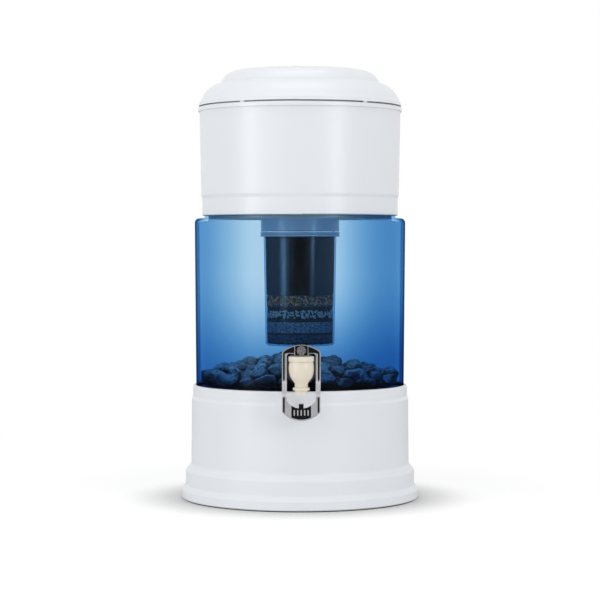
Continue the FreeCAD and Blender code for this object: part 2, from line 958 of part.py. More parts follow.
def tap_spring():
    """The return spring between the plug and the bonnet, its turns drawn as quarter turns."""
    low = plug_top + spring_wire_radius
    high = spring_top - spring_wire_radius
    quarters = spring_turns * 4
    pitch = (high - low) / spring_turns

    def point(i):
        turn = math.pi / 2 * i
        height = low + pitch * i / 4
        return Vector(spring_radius * math.cos(turn), spring_radius * math.sin(turn), height)

    def tangent(i):
        turn = math.pi / 2 * i
        climb = pitch / (2 * math.pi)
        return Vector(
            -spring_radius * math.sin(turn), spring_radius * math.cos(turn), climb
        ).normalize()

    edges = []
    for i in range(quarters):
        edges += biarc(point(i), tangent(i), point(i + 1), tangent(i + 1))
    spine = Part.Wire(Part.__sortEdges__(edges))
    section = Part.Wire(Part.Circle(point(0), tangent(0), spring_wire_radius).toShape())
    print("least gap between the spring's turns:", round(pitch - 2 * spring_wire_radius, 2))
    return on_tap(spine.makePipeShell([section], True, False))


# Tap lever

def lever_outline(inset):
    """The lever seen from the front, drawn in by inset: an arch with rounded shoulders, a round foot."""
    half = lever_half_width - inset
    shoulder_x = lever_half_width - lever_shoulder_round
    arch_reach = lever_arch_radius - lever_shoulder_round
    rise = math.sqrt(arch_reach * arch_reach - shoulder_x * shoulder_x)
    shoulder_z = arch_middle + rise
    lean = math.atan2(rise, shoulder_x)
    shoulder_radius = lever_shoulder_round - inset
    corner_x = shoulder_x + shoulder_radius * math.cos(lean / 2)
    corner_z = shoulder_z + shoulder_radius * math.sin(lean / 2)
    arch_radius = lever_arch_radius - inset
    arch_x = arch_radius * math.cos(lean)
    arch_z = arch_middle + arch_radius * math.sin(lean)
    foot_radius = lever_foot_radius - inset
    foot_middle = lever_bottom + lever_foot_radius
    foot_z = foot_middle - math.sqrt(foot_radius * foot_radius - half * half)
    return [
        (half, shoulder_z),
        Via(corner_x, corner_z),
        (arch_x, arch_z),
        Via(0, arch_middle + arch_radius),
        (-arch_x, arch_z),
        Via(-corner_x, corner_z),
        (-half, shoulder_z),
        (-half, foot_z),
        Via(0, foot_middle - foot_radius),
        (half, foot_z),
    ]


def window_outline(side, top):
    """The opening between the rails, made wider and higher by the ridges round it."""
    half = window_half_width + side
    crescent_middle = lever_top - crescent_drop + crescent_radius
    fall = math.sqrt(crescent_radius ** 2 - half ** 2) if half < crescent_radius else 0
    return [
        (half, window_top + top, window_corner_round),
        (-half, window_top + top, window_corner_round),
        (-half, crescent_middle - fall),
        Via(0, lever_top - crescent_drop),
        (half, crescent_middle - fall),
    ]


def shallow(points, surface, depth):
    """A thin plate that goes into a surface facing -Y."""
    return front_plate(points, surface, surface + depth)


def rectangle(left, right, bottom, top):
    return [(left, bottom), (right, bottom), (right, top), (left, top)]


def mirrored(shape):
    return shape.mirror(Vector(0, 0, 0), Vector(1, 0, 0))


def upper_inlay(depth):
    """The black field of one shoulder, with its slot down the rail to a point."""
    slot_left = window_half_width + inner_ridge
    slot_right = lever_half_width - outer_ridge
    slot_end = lever_top - lever_bend_top
    field = shallow(lever_outline(outer_ridge), upper_front, depth)
    field = field.cut(shallow(window_outline(inner_ridge, window_ridge), upper_front, depth))
    arch_field = rectangle(block_half_width, lever_half_width, window_top, lever_top)
    slot = [
        (slot_left, window_top + cut_spare),
        (slot_left, slot_end + slot_point_length),
        ((slot_left + slot_right) / 2, slot_end),
        (slot_right, slot_end + slot_point_length),
        (slot_right, window_top + cut_spare),
    ]
    keep = shallow(arch_field, upper_front, depth).fuse(shallow(slot, upper_front, depth))
    return field.common(keep).removeSplitter()


def lower_inlay(depth):
    """The black slot in one rail beside the pad."""
    left = window_half_width + inner_ridge
    right = lever_half_width - outer_ridge
    top = lever_top - lever_bend_bottom
    slot = shallow(rectangle(left, right, lever_bottom, top), lower_front, depth)
    return slot.common(shallow(lever_outline(outer_ridge), lower_front, depth))


def pad_inlay(depth):
    """The black field of the pad, under the crescent, with the notch's tongue."""
    field = shallow(lever_outline(pad_ridge), pad_front, depth)
    top = lever_top - pad_notch_drop
    half = pad_inlay_half_width
    field = field.common(shallow(rectangle(-half, half, lever_bottom, top), pad_front, depth))
    crescent = shallow(window_outline(0, 0), pad_front, depth)
    notch_half = pad_notch_half_width
    tongue = rectangle(-notch_half, notch_half, lever_bottom, top - cut_spare)
    return field.cut(crescent.cut(shallow(tongue, pad_front, depth)))


def pad_pocket():
    """The cutter that sets the pad back between the rails."""
    top = lever_top - lever_bend_bottom
    between = rectangle(-window_half_width, window_half_width, lever_bottom, top)
    depth = cut_spare + pad_recess
    pocket = shallow(between, lower_front - cut_spare, depth)
    return pocket.common(shallow(lever_outline(pad_ridge), lower_front - cut_spare, depth))


def block_inlay(depth):
    """The black field behind the disc."""
    half = block_half_width - block_ridge
    bottom = bonnet_top + block_gap + block_ridge
    field = shallow(rectangle(-half, half, bottom, lever_top), block_front, depth)
    return field.common(shallow(lever_outline(block_ridge), block_front, depth))


def lever_inlays(depth):
    upper = upper_inlay(depth)
    lower = lower_inlay(depth)
    return [upper, mirrored(upper), lower, mirrored(lower), block_inlay(depth)]


def lever_side():
    """The lever seen from the side: upright, set back towards the stand, and upright again."""
    bend_top = lever_top - lever_bend_top
    bend_bottom = lever_top - lever_bend_bottom
    points = [
        (upper_front, lever_top + cut_spare),
        (upper_front, bend_top, lever_bend_round),
        (lower_front, bend_bottom, lever_bend_round),
        (lower_front, lever_bottom - cut_spare),
        (lower_back, lever_bottom - cut_spare),
        (lower_back, bend_bottom, lever_bend_round),
        (upper_back, bend_top, lever_bend_round),
        (upper_back, lever_top + cut_spare),
    ]
    left = -lever_half_width - cut_spare
    face = Part.Face(closed_wire(points, lambda y, z: Vector(left, y, z)))
    return face.extrude(Vector(-2 * left, 0, 0))


def tap_lever_frame():
    front = block_front - cut_spare
    back = lower_back + cut_spare
    outline = front_plate(lever_outline(0), front, back)
    window = front_plate(window_outline(0, 0), front, back)
    notch_half = pad_notch_half_width
    notch = rectangle(-notch_half, notch_half, lever_bottom, lever_top - pad_notch_drop)
    tongue = front_plate(notch, front, back)
    plate = outline.cut(window.cut(tongue)).common(lever_side())
    block_bottom = bonnet_top + block_gap
    boss = block(
        Vector(-block_half_width, block_front, block_bottom),
        Vector(block_half_width, -tap_reach + block_half_depth, lever_top + cut_spare),
    ).common(outline)
    frame = plate.fuse(boss)
    slot_half_width = valve_stem_radius + hole_clearance
    slot_top = pivot_height + pin_radius + stem_slot_over_pin
    slot = block(
        Vector(-slot_half_width, -tap_reach - stem_slot_half_length, block_bottom - cut_spare),
        Vector(slot_half_width, -tap_reach + stem_slot_half_length, slot_top),
    )
    hole_end = lever_half_width + cut_spare
    pin_hole = pivot_bore(pin_radius + slide_clearance, -pin_half_length, hole_end)
    pockets = lever_inlays(inlay_pocket_depth) + [pad_pocket(), pad_inlay(inlay_pocket_depth)]
    return frame.cut([slot, pin_hole] + pockets).removeSplitter()


def set_in(shape):
    """An inlay's copy, moved back so that it lies on the floor of its pocket."""
    copy = shape.copy()
    copy.translate(Vector(0, inlay_pocket_depth - inlay_thickness, 0))
    return copy


def tap_pad_ribs():
    face = pad_front + inlay_pocket_depth - inlay_thickness
    first = -(pad_rib_count - 1) / 2 * pad_rib_pitch
    bottom = lever_bottom + pad_rib_rise
    ribs = []
    for i in range(pad_rib_count):
        left = first + i * pad_rib_pitch - pad_rib_width / 2
        points = rectangle(left, left + pad_rib_width, bottom, bottom + pad_rib_height)
        rounded = [(x, z, pad_rib_round) for x, z in points]
        ribs.append(front_plate(rounded, face - pad_rib_proud, face))
    return Part.makeCompound(ribs)


def tap_lever_disc():
    face = block_front + inlay_pocket_depth - inlay_thickness
    return along_y(disc_radius, face - disc_thickness, face, 0, lever_top - disc_drop)


# Writing the parts

os.makedirs("parts", exist_ok=True)

write("base_shell", with_ribs(base_shell()))
write("base_foot_ring", base_foot_ring())
write("lower_tank_shell", lower_tank_shell())
write("mineral_stones", heap_of_stones())
write("upper_tank_shell", upper_tank_shell())
write("lid_shell", lid_shell())
write("dome_base", dome_base())
write("ceramic_dome", ceramic_dome())
write("dome_washer", tube(dome_washer_radius, stem_hole_radius, upper_inside, dome_plate_bottom))
write("cartridge_gasket", tube(gasket_radius, stem_hole_radius, head_top, neck_top))
write("cartridge_head", cartridge_head())
write("cartridge_ring", cartridge_ring())
write("cartridge_jar", cartridge_jar())
for layer_name, layer_solids in cartridge_layers().items():
    write(layer_name, Part.makeCompound(layer_solids))
write("tap_body", tap_body())
write("tap_nozzle", tap_nozzle())
write("tap_bonnet", tap_bonnet())
write("tap_outer_washer", tap_washer(washer_radius, washer_front, tap_pad_front))
write("tap_inner_washer", tap_washer(inner_washer_radius, tap_pad_back, inner_washer_back))
write("tap_nut", tap_nut())
write("tap_stem", tap_stem())
write("tap_pivot_pin", pivot_bore(pin_radius, -pin_half_length, pin_half_length))
write("tap_valve_plug", tap_valve_plug())
write("tap_spring", tap_spring())
write("tap_lever_frame", tap_lever_frame())
write("tap_lever_inlays", set_in(Part.makeCompound(lever_inlays(inlay_thickness))))
write("tap_pad_inlay", set_in(pad_inlay(inlay_thickness)))
write("tap_pad_ribs", tap_pad_ribs())
write("tap_lever_disc", tap_lever_disc())
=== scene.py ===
import json
import math
import random

import bmesh
import bpy
from mathutils import Matrix, Vector, noise


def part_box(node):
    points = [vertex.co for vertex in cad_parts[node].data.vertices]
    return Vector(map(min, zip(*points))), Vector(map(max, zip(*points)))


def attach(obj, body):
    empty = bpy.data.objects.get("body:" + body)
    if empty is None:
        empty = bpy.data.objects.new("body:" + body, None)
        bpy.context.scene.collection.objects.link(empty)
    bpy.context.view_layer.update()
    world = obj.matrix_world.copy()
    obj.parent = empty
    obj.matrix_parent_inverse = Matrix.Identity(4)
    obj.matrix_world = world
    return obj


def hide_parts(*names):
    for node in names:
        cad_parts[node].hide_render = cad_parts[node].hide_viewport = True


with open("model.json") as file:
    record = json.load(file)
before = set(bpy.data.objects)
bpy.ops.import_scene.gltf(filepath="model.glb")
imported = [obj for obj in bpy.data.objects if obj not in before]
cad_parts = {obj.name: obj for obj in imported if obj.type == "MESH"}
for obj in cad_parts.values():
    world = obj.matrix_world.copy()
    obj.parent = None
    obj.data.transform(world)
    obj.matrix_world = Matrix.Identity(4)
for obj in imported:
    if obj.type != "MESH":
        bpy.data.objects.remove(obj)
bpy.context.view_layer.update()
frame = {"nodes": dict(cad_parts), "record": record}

# The gravity water filter, dressed. Metres, +Z up, the tap towards -Y, as in the frame.

# Camera, found from the ellipses of the foot, the ledges and the rim in the photograph
camera_place = Vector((-0.021, -2.422, 0.3105))
camera_pitch = math.radians(-1.58)
camera_lens_mm = 117.7
sensor_mm = 36.0

# Lamps: two tall soft boxes beside the camera and a wide one overhead
ambient = 0.59
box_distance = 2.0
left_box = {"azimuth": -56, "width": 0.60, "low": 0.10, "high": 1.30, "power": 10.0}
right_box = {"azimuth": 41, "width": 0.34, "low": 0.22, "high": 1.30, "power": 8.5}
top_box_height = 1.9
top_box_size = 1.2
top_box_power = 7.5
top_box_place = Vector((0, -0.4, top_box_height))
top_box_target = Vector((0, 0, 0.3))
dark_half_angle = math.radians(14)
dark_soft_angle = math.radians(10)
dark_ends_behind = (-0.5, -0.4)
dark_ends_below = (-0.045, -0.060)
mirrored_dark = 0.02
mirrored_light = 0.95

# Ambient occlusion
occlusion = {"samples": 8}

# Moulded plastic, and the shade painted into its seams and crevices
crease_shade_reach = 0.004
crease_shade_dark = 0.45
crease_shade_open = (0.15, 0.75)
tone_scale = 9.0
smooth_detail = 3.0
gloss_scale = 35.0
gloss_noise = (0.3, 0.7)
gloss_below = 0.03
gloss_above = 0.04
moulded_grain_depth = 0.0002

# Metal
wear_scale = 120.0
wear_detail = 4.0
wear_noise = (0.35, 0.75)
wear_dull = 0.08
brushed_scale = 1400.0
brushed_noise = (0.40, 0.60)
wave_scale = 60.0
wave_strength = 0.04
wave_depth = 0.0004
edge_width = 0.00025

# Floor
floor_half = 6.0
floor_near_glow = 0.55
floor_near_strength = 1.22
floor_near = 0.30
floor_far = 0.90
floor_mirrored = 0.55
contact_reach = 0.09
contact_dark = 0.33
contact_open = (0.64, 1.0)
floor_white = (0.9, 0.9, 0.9)

# Clear plastic. The inner wall of the lower tank lies inside tank_inner_limit. A stop of the edges is how
# far the wall turns from the look, and then walls' worth of plastic or, for the greys, a brightness.
tank_inner_limit = 0.1268
tank_half = 0.130
tank_front = 0.10
edge_most = 9.0
# The dip to 0.85 at 0.69 is a painted highlight: a light line just inside the outline.
tank_edges = [(0.0, 1.0), (0.55, 1.0), (0.69, 0.85), (0.75, 2.1), (1.0, 3.6)]
tank_edge_greys = [(0.72, 1.0), (0.86, 0.66), (1.0, 0.55)]
jar_tint = (0.88, 0.93, 0.965)
jar_edges = [(0.0, 1.0), (0.55, 1.0), (0.75, 4.0), (0.90, 9.0)]
slant_blend = 0.5

# The tank's blue: one colour, which deepens away from a soft glow round the cartridge. The glow is light
# in the photograph and is painted here, so it stays where it is.
tank_colour = (0.79, 0.885, 0.948)
tank_deepest = 5.0
glow_middle = -0.015
glow_core = 0.030
glow_edge = 0.125
glow_at_edge = 0.33
glow_low = 0.120
glow_high = 0.280
glow_at_low = 0.08
# Painted shade: the tint deepens low down towards the right.
right_painted_shade = 0.15

# The tank's deeper floor, and a deeper box behind the tap, wider and plainer than the round boss there:
# partly the boss's thick plastic and partly painted shade of the tap and its lever
tint_blend = 0.004
floor_tint_top = 0.144
floor_tint = 1.0
boss_shade_half = 0.019
boss_shade_top = 0.187
boss_shade_tint = 7.0

# Stones
stone_seed = 5
stone_planes = 17
stone_swell = 1.16
stone_rounding = 48.0
stone_cuts = (0.66, 0.95)
stone_most = 1.1
stone_tilt = 0.35
stone_stretch = (0.88, 1.0)
stone_tall = 1.08
stone_least_facing = 0.2
stone_noise_span = 50
stone_waves = [(0.05, 2.2), (0.03, 7)]
# Painted shade in the gaps between the stones.
stone_gap_shade_reach = 0.012
stone_gap_shade_open = (0.25, 0.85)
stone_gap_shade_dark = 0.16
stone_fine = {"scale": 260.0, "detail": 5.0, "roughness": 0.65}
stone_broad = {"scale": 70.0, "detail": 4.0, "roughness": 0.6}
# Painted light: the upward faces of the stones are lighter.
stone_upwards = (-0.3, 1.0)
stone_dull = 0.72
stone_relief = (0.85, 0.0022)
stone_tones = [
    (0.25, (0.110, 0.110, 0.120)),
    (0.65, (0.440, 0.420, 0.430)),
    (1.00, (0.860, 0.840, 0.840)),
]
stone_pit = (0.045, 0.060, 0.085)
stone_pit_noise = (0.36, 0.50)
stone_top_painted_light = 0.45
stone_from_own = 0.35
stone_from_broad = 0.5

# Loose fill in the cartridge
grain_seed = 3
grain_wide = (0.75, 1.1)
grain_tall = (0.7, 1.0)
grain_sizes = (0.75, 1.0)
core_inset = 0.9
core_sides = 96
loose_tones = (0.15, 0.95)
loose_ior = 1.3
drop_in = 1.12
drop_spread = 0.5
granules = {"size": 0.0017, "count": 1500, "band": (0.0, 1.0), "subdivisions": 1, "roughness": 0.16}
balls = {"size": 0.0015, "count": 420, "band": (0.10, 0.80), "subdivisions": 2, "roughness": 0.0}

# Carbon, and the sheen painted on it: weak at the sides, with two soft streaks. A streak is its middle,
# its half width and its strength.
carbon_scale = 900.0
carbon_tones = (0.75, 1.15)
carbon_dull = 0.7
carbon_ior = 1.12
carbon_relief = (0.4, 0.0004)
carbon_black = (0.002, 0.002, 0.003)
sheen_tone = (1.0, 1.3, 1.9)
sheen_from = 0.0085
sheen_full = 0.024
sheen_side = 0.035
sheen_streaks = [(-0.0195, 0.007, 0.09), (0.0145, 0.004, 0.05)]


# Node helpers

def material(name):
    """A new empty material, its node tree and its output."""
    made = bpy.data.materials.new(name)
    made.use_nodes = True
    tree = made.node_tree
    tree.nodes.clear()
    return made, tree, tree.nodes.new("ShaderNodeOutputMaterial")


def put(tree, kind, settings=None, **inputs):
    """A node with its settings and inputs. An input is a value or another node's output."""
    node = tree.nodes.new("ShaderNode" + kind)
    for key, value in (settings or {}).items():
        setattr(node, key, value)
    for key, value in inputs.items():
        socket = node.inputs[int(key[1:])] if key[0] == "i" and key[1:].isdigit() else None
        socket = socket or node.inputs[key.replace("_", " ")]
        if isinstance(value, bpy.types.NodeSocket):
            tree.links.new(value, socket)
        elif hasattr(socket.default_value, "__len__") and len(value) == 3 and len(socket.default_value) == 4:
            socket.default_value = (*value, 1.0)
        else:
            socket.default_value = value
    return node


def link(tree, output, socket):
    tree.links.new(output, socket)


def math_node(tree, operation, first, second=0.0):
    node = tree.nodes.new("ShaderNodeMath")
    node.operation = operation
    for socket, value in zip(node.inputs, (first, second)):
        if isinstance(value, bpy.types.NodeSocket):
            tree.links.new(value, socket)
        else:
            socket.default_value = value
    return node.outputs[0]


def ramp(tree, factor, stops):
    """A colour ramp's colour output. A stop is (position, colour)."""
    node = tree.nodes.new("ShaderNodeValToRGB")
    band = node.color_ramp
    while len(band.elements) < len(stops):
        band.elements.new(1.0)
    for element, (position, colour) in zip(band.elements, stops):
        element.position = position
        element.color = (*colour, 1.0)
    tree.links.new(factor, node.inputs[0])
    return node.outputs[0]


def spread(tree, value, low, high, to_low=0.0, to_high=1.0, kind="LINEAR"):
    """A value's place between low and high, carried over to the range from to_low to to_high."""
    node = tree.nodes.new("ShaderNodeMapRange")
    node.interpolation_type = kind
    tree.links.new(value, node.inputs[0])
    for i, number in enumerate((low, high, to_low, to_high), 1):
        node.inputs[i].default_value = number
    return node.outputs[0]


def place_of(tree):
    """Where a point lies on the object, in metres."""
    return tree.nodes.new("ShaderNodeTexCoord").outputs["Object"]


def axis_of(tree, vector, axis):
    node = tree.nodes.new("ShaderNodeSeparateXYZ")
    tree.links.new(vector, node.inputs[0])
    return node.outputs[axis]


def mixed_colour(tree, factor, first, second):
    node = tree.nodes.new("ShaderNodeMix")
    node.data_type = "RGBA"
    for socket, value in zip((node.inputs[0], node.inputs[6], node.inputs[7]), (factor, first, second)):
        if isinstance(value, bpy.types.NodeSocket):
            tree.links.new(value, socket)
        elif isinstance(value, float):
            socket.default_value = value
        else:
            socket.default_value = (*value, 1.0)
    return node.outputs[2]


def noise_of(tree, scale, detail=2.0, roughness=0.5):
    return put(
        tree, "TexNoise", Vector=place_of(tree), Scale=scale, Detail=detail, Roughness=roughness
    ).outputs["Fac"]


def bumped(tree, height, strength, distance):
    return put(tree, "Bump", Strength=strength, Distance=distance, Height=height).outputs[0]


# Materials

def moulded(name, colour, shade, roughness, grain_scale=900.0, grain=0.05, ior=1.49):
    """Moulded plastic: a faint change of tone, a fine grain, a changing gloss and painted shade in seams and
    crevices.
    """
    made, tree, out = material(name)
    plain = mixed_colour(tree, noise_of(tree, tone_scale, smooth_detail), colour, shade)
    # Painted shade: darker where nearby surfaces hide the open air, in seams and crevices.
    open_air = put(tree, "AmbientOcclusion", occlusion, Distance=crease_shade_reach).outputs["AO"]
    crease_shade = spread(tree, open_air, *crease_shade_open, crease_shade_dark, 1.0)
    tone = put(tree, "VectorMath", {"operation": "SCALE"}, i0=plain, Scale=crease_shade).outputs[0]
    smears = noise_of(tree, gloss_scale, smooth_detail)
    gloss = spread(tree, smears, *gloss_noise, roughness - gloss_below, roughness + gloss_above)
    surface = put(tree, "BsdfPrincipled", Base_Color=tone, Roughness=gloss)
    surface.inputs["IOR"].default_value = ior
    fine = bumped(tree, noise_of(tree, grain_scale), grain, moulded_grain_depth)
    link(tree, fine, surface.inputs["Normal"])
    link(tree, surface.outputs[0], out.inputs[0])
    return made


def thickness_seen(tree, stops):
    """How many walls' worth of plastic a look passes through, from how steeply it meets the wall."""
    facing = put(tree, "LayerWeight", Blend=slant_blend).outputs["Facing"]
    share = ramp(tree, facing, [(at, (value / edge_most,) * 3) for at, value in stops])
    return math_node(tree, "MULTIPLY", share, edge_most)


def painted_glow_depth(tree):
    """The painted glow: the blue is palest high up round the cartridge, deepest low down at the right."""
    place = place_of(tree)
    across = axis_of(tree, place, 0)
    aside = math_node(tree, "ABSOLUTE", math_node(tree, "SUBTRACT", across, glow_middle))
    beside = spread(tree, aside, glow_core, glow_edge, 1.0, glow_at_edge, "SMOOTHSTEP")
    above = spread(tree, axis_of(tree, place, 2), glow_low, glow_high, glow_at_low, 1.0, "SMOOTHSTEP")
    glow = math_node(tree, "MULTIPLY", beside, above)
    rightwards = spread(tree, across, 0.0, tank_half, 0.0, right_painted_shade)
    right_shade = math_node(tree, "MULTIPLY", rightwards, math_node(tree, "SUBTRACT", 1.0, above))
    lit = math_node(tree, "MAXIMUM", math_node(tree, "SUBTRACT", glow, right_shade), 0.0)
    return math_node(tree, "POWER", tank_deepest, math_node(tree, "SUBTRACT", 1.0, lit))


def tank_grey(tree):
    """The outer wall darkens where it is met at a slant."""
    facing = put(tree, "LayerWeight", Blend=slant_blend).outputs["Facing"]
    slanting = ramp(tree, facing, grey_stops(tank_edge_greys))
    return mixed_colour(tree, is_outside(tree), (1.0, 1.0, 1.0), slanting)


def is_outside(tree):
    """One on the tank's outer wall, zero on its inner wall."""
    flat = put(tree, "VectorMath", {"operation": "MULTIPLY"}, i0=place_of(tree), i1=(1.0, 1.0, 0.0))
    out_from_axis = put(tree, "VectorMath", {"operation": "LENGTH"}, i0=flat.outputs[0]).outputs["Value"]
    return math_node(tree, "GREATER_THAN", out_from_axis, tank_inner_limit)


def tank_path(tree):
    """How often the tint applies: more at the outline, near the floor, behind the tap where the tap's shade
    is painted, and out of the painted glow.
    """
    place = place_of(tree)
    edge = math_node(tree, "SUBTRACT", thickness_seen(tree, tank_edges), 1.0)
    path = math_node(tree, "MULTIPLY", edge, is_outside(tree))
    height = axis_of(tree, place, 2)
    low = spread(tree, height, floor_tint_top - tint_blend, floor_tint_top, floor_tint, 0.0)
    aside = math_node(tree, "ABSOLUTE", axis_of(tree, place, 0))
    # Behind the tap: the boss's thick plastic and painted shade of the tap and its lever.
    boss_and_shade = spread(tree, aside, boss_shade_half - tint_blend, boss_shade_half, 1.0, 0.0)
    boss_shade_below = spread(tree, height, boss_shade_top - tint_blend, boss_shade_top, boss_shade_tint, 0.0)
    front = math_node(tree, "LESS_THAN", axis_of(tree, place, 1), -tank_front)
    boss_and_shade = math_node(tree, "MULTIPLY", math_node(tree, "MULTIPLY", boss_and_shade, boss_shade_below), front)
    added = math_node(tree, "ADD", low, boss_and_shade)
    walls = math_node(tree, "ADD", math_node(tree, "ADD", path, added), 1.0)
    return math_node(tree, "MULTIPLY", walls, painted_glow_depth(tree))


def jar_path(tree):
    return thickness_seen(tree, jar_edges)


def grey_stops(stops):
    return [(at, (value,) * 3) for at, value in stops]


def clear(name, tint, path_of, roughness, shine, grey_of=None):
    """Clear plastic, whose tint deepens where path_of says that more of it is looked through."""
    made, tree, out = material(name)
    passed = put(tree, "Gamma", Color=tint, Gamma=path_of(tree)).outputs[0]
    if grey_of:
        passed = put(tree, "VectorMath", {"operation": "MULTIPLY"}, i0=passed, i1=grey_of(tree)).outputs[0]
    through = put(tree, "BsdfTransparent", Color=passed)
    gloss = put(tree, "BsdfGlossy", Color=(1.0, 1.0, 1.0), Roughness=roughness)
    mix = put(tree, "MixShader", i0=shine, i1=through.outputs[0], i2=gloss.outputs[0])
    link(tree, mix.outputs[0], out.inputs[0])
    return made


def chrome(name, colour, dull, polish):
    """Metal with a fine change of tone, a changing polish and faint waves."""
    made, tree, out = material(name)
    wear = noise_of(tree, wear_scale, wear_detail)
    gloss = spread(tree, wear, *wear_noise, polish, polish + wear_dull)
    tone = mixed_colour(tree, spread(tree, noise_of(tree, brushed_scale), *brushed_noise), dull, colour)
    surface = put(tree, "BsdfPrincipled", Base_Color=tone, Metallic=1.0, Roughness=gloss)
    link(tree, bumped(tree, noise_of(tree, wave_scale), wave_strength, wave_depth), surface.inputs["Normal"])
    link(tree, surface.outputs[0], out.inputs[0])
    return made


def loose(name, dark, light, scale, roughness=0.75, depth=0.0006, relief=0.6):
    """Loose matter such as sand: cells of different tones with a bump at each."""
    made, tree, out = material(name)
    cells = put(tree, "TexVoronoi", Vector=place_of(tree), Scale=scale)
    tones = axis_of(tree, cells.outputs["Color"], 0)
    colour = ramp(tree, tones, list(zip(loose_tones, (dark, light))))
    surface = put(tree, "BsdfPrincipled", Base_Color=colour, Roughness=roughness, IOR=loose_ior)
    link(tree, bumped(tree, cells.outputs["Distance"], relief, depth), surface.inputs["Normal"])
    link(tree, surface.outputs[0], out.inputs[0])
    return made


def carbon_sheen(tree):
    """The light of the jar's wall, painted on the carbon behind it: its sides and two upright streaks."""
    across = axis_of(tree, place_of(tree), 0)
    outwards = math_node(tree, "ABSOLUTE", across)
    amount = spread(tree, outwards, sheen_from, sheen_full, 0.0, sheen_side, "SMOOTHSTEP")
    for middle, half, strength in sheen_streaks:
        aside = math_node(tree, "ABSOLUTE", math_node(tree, "SUBTRACT", across, middle))
        amount = math_node(tree, "ADD", amount, spread(tree, aside, 0.0, half, strength, 0.0))
    sheen = put(tree, "VectorMath", {"operation": "SCALE"}, i0=sheen_tone, Scale=amount).outputs[0]
    return put(tree, "VectorMath", {"operation": "ADD"}, i0=sheen, i1=carbon_black).outputs[0]


def carbon_grains(name):
    """Black carbon with a fine grain."""
    made, tree, out = material(name)
    cells = put(tree, "TexVoronoi", Vector=place_of(tree), Scale=carbon_scale)
    tones = spread(tree, axis_of(tree, cells.outputs["Color"], 0), 0.0, 1.0, *carbon_tones)
    colour = put(tree, "VectorMath", {"operation": "SCALE"}, i0=carbon_sheen(tree), Scale=tones).outputs[0]
    surface = put(tree, "BsdfPrincipled", Base_Color=colour, Roughness=carbon_dull, IOR=carbon_ior)
    link(tree, bumped(tree, cells.outputs["Distance"], *carbon_relief), surface.inputs["Normal"])
    link(tree, surface.outputs[0], out.inputs[0])
    return made


def rock(name):
    """Stone: blue-grey, each in its own tone, with pits, painted light on the tops and painted shade in the
    gaps between.
    """
    made, tree, out = material(name)
    about = tree.nodes.new("ShaderNodeNewGeometry")
    fine = noise_of(tree, **stone_fine)
    # Painted light on the tops of the stones.
    upwards = spread(tree, axis_of(tree, about.outputs["Normal"], 2), *stone_upwards)
    own = math_node(tree, "MULTIPLY", about.outputs["Random Per Island"], stone_from_own)
    broad = math_node(tree, "MULTIPLY", noise_of(tree, **stone_broad), stone_from_broad)
    height = math_node(tree, "ADD", math_node(tree, "MULTIPLY", upwards, stone_top_painted_light), own)
    tone = ramp(tree, math_node(tree, "ADD", height, broad), stone_tones)
    pitted = mixed_colour(tree, spread(tree, fine, *stone_pit_noise), stone_pit, tone)
    # Painted shade: darker in the gaps between the stones.
    gap = put(tree, "AmbientOcclusion", occlusion, Distance=stone_gap_shade_reach).outputs["AO"]
    shade = spread(tree, gap, *stone_gap_shade_open, stone_gap_shade_dark, 1.0)
    colour = put(tree, "VectorMath", {"operation": "SCALE"}, i0=pitted, Scale=shade).outputs[0]
    surface = put(tree, "BsdfPrincipled", Base_Color=colour, Roughness=stone_dull)
    link(tree, bumped(tree, fine, *stone_relief), surface.inputs["Normal"])
    link(tree, surface.outputs[0], out.inputs[0])
    return made


def rubber(name, colour):
    return moulded(name, colour, tuple(c * 1.4 for c in colour), 0.62, 1500.0, 0.12)


white = moulded("white_moulding", (0.79, 0.812, 0.845), (0.775, 0.80, 0.835), 0.33)
cream = moulded("cream_moulding", (0.76, 0.695, 0.56), (0.80, 0.74, 0.62), 0.32)
gloss_black = moulded("black_insert", (0.006, 0.006, 0.009), (0.010, 0.010, 0.014), 0.18, ior=1.22)
black_rubber = rubber("black_rubber", (0.018, 0.018, 0.020))
silicone = rubber("white_silicone", (0.70, 0.72, 0.72))
bright = chrome("chrome", (0.80, 0.80, 0.82), (0.74, 0.74, 0.76), 0.10)
turned_metal = chrome("turned_metal", (0.75, 0.75, 0.76), (0.10, 0.10, 0.11), 0.25)
steel = chrome("steel", (0.55, 0.55, 0.56), (0.45, 0.45, 0.46), 0.20)
tank_blue = clear("blue_clear", tank_colour, tank_path, roughness=0.24, shine=0.006, grey_of=tank_grey)
jar_clear = clear("jar_clear", jar_tint, jar_path, roughness=0.14, shine=0.016)
head_plastic = moulded("head_plastic", (0.30, 0.40, 0.54), (0.34, 0.45, 0.60), 0.22)
stone_rock = rock("stone_rock")
carbon = carbon_grains("carbon_grains")
sand = loose("sand_grains", (0.05, 0.075, 0.11), (0.26, 0.34, 0.44), 850.0)
zeolite = loose("zeolite_grains", (0.02, 0.03, 0.05), (0.09, 0.12, 0.18), 700.0)
granule = loose("granule_bits", (0.06, 0.032, 0.02), (0.72, 0.37, 0.23), 480.0)
felt = loose("felt_fibres", (0.010, 0.012, 0.018), (0.035, 0.040, 0.055), 1400.0, 0.9, 0.0003)
ball = moulded("ball_glaze", (0.84, 0.93, 0.98), (0.90, 0.95, 0.98), 0.35)
dome_ceramic = loose("dome_ceramic", (0.74, 0.72, 0.66), (0.84, 0.82, 0.76), 1500.0, 0.8, 0.0002)

finish_of_slot = {
    "white_plastic": white,
    "blue_tank": tank_blue,
    "clear_plastic": jar_clear,
    "cream_plastic": cream,
    "chrome_trim": bright,
    "black_insert": gloss_black,
    "black_rubber": black_rubber,
    "white_silicone": silicone,
    "stone": stone_rock,
    "carbon": carbon,
    "granules": granule,
    "ceramic_balls": ball,
    "sand": sand,
    "zeolite": zeolite,
    "felt": felt,
    "white_ceramic": dome_ceramic,
    "steel": steel,
}


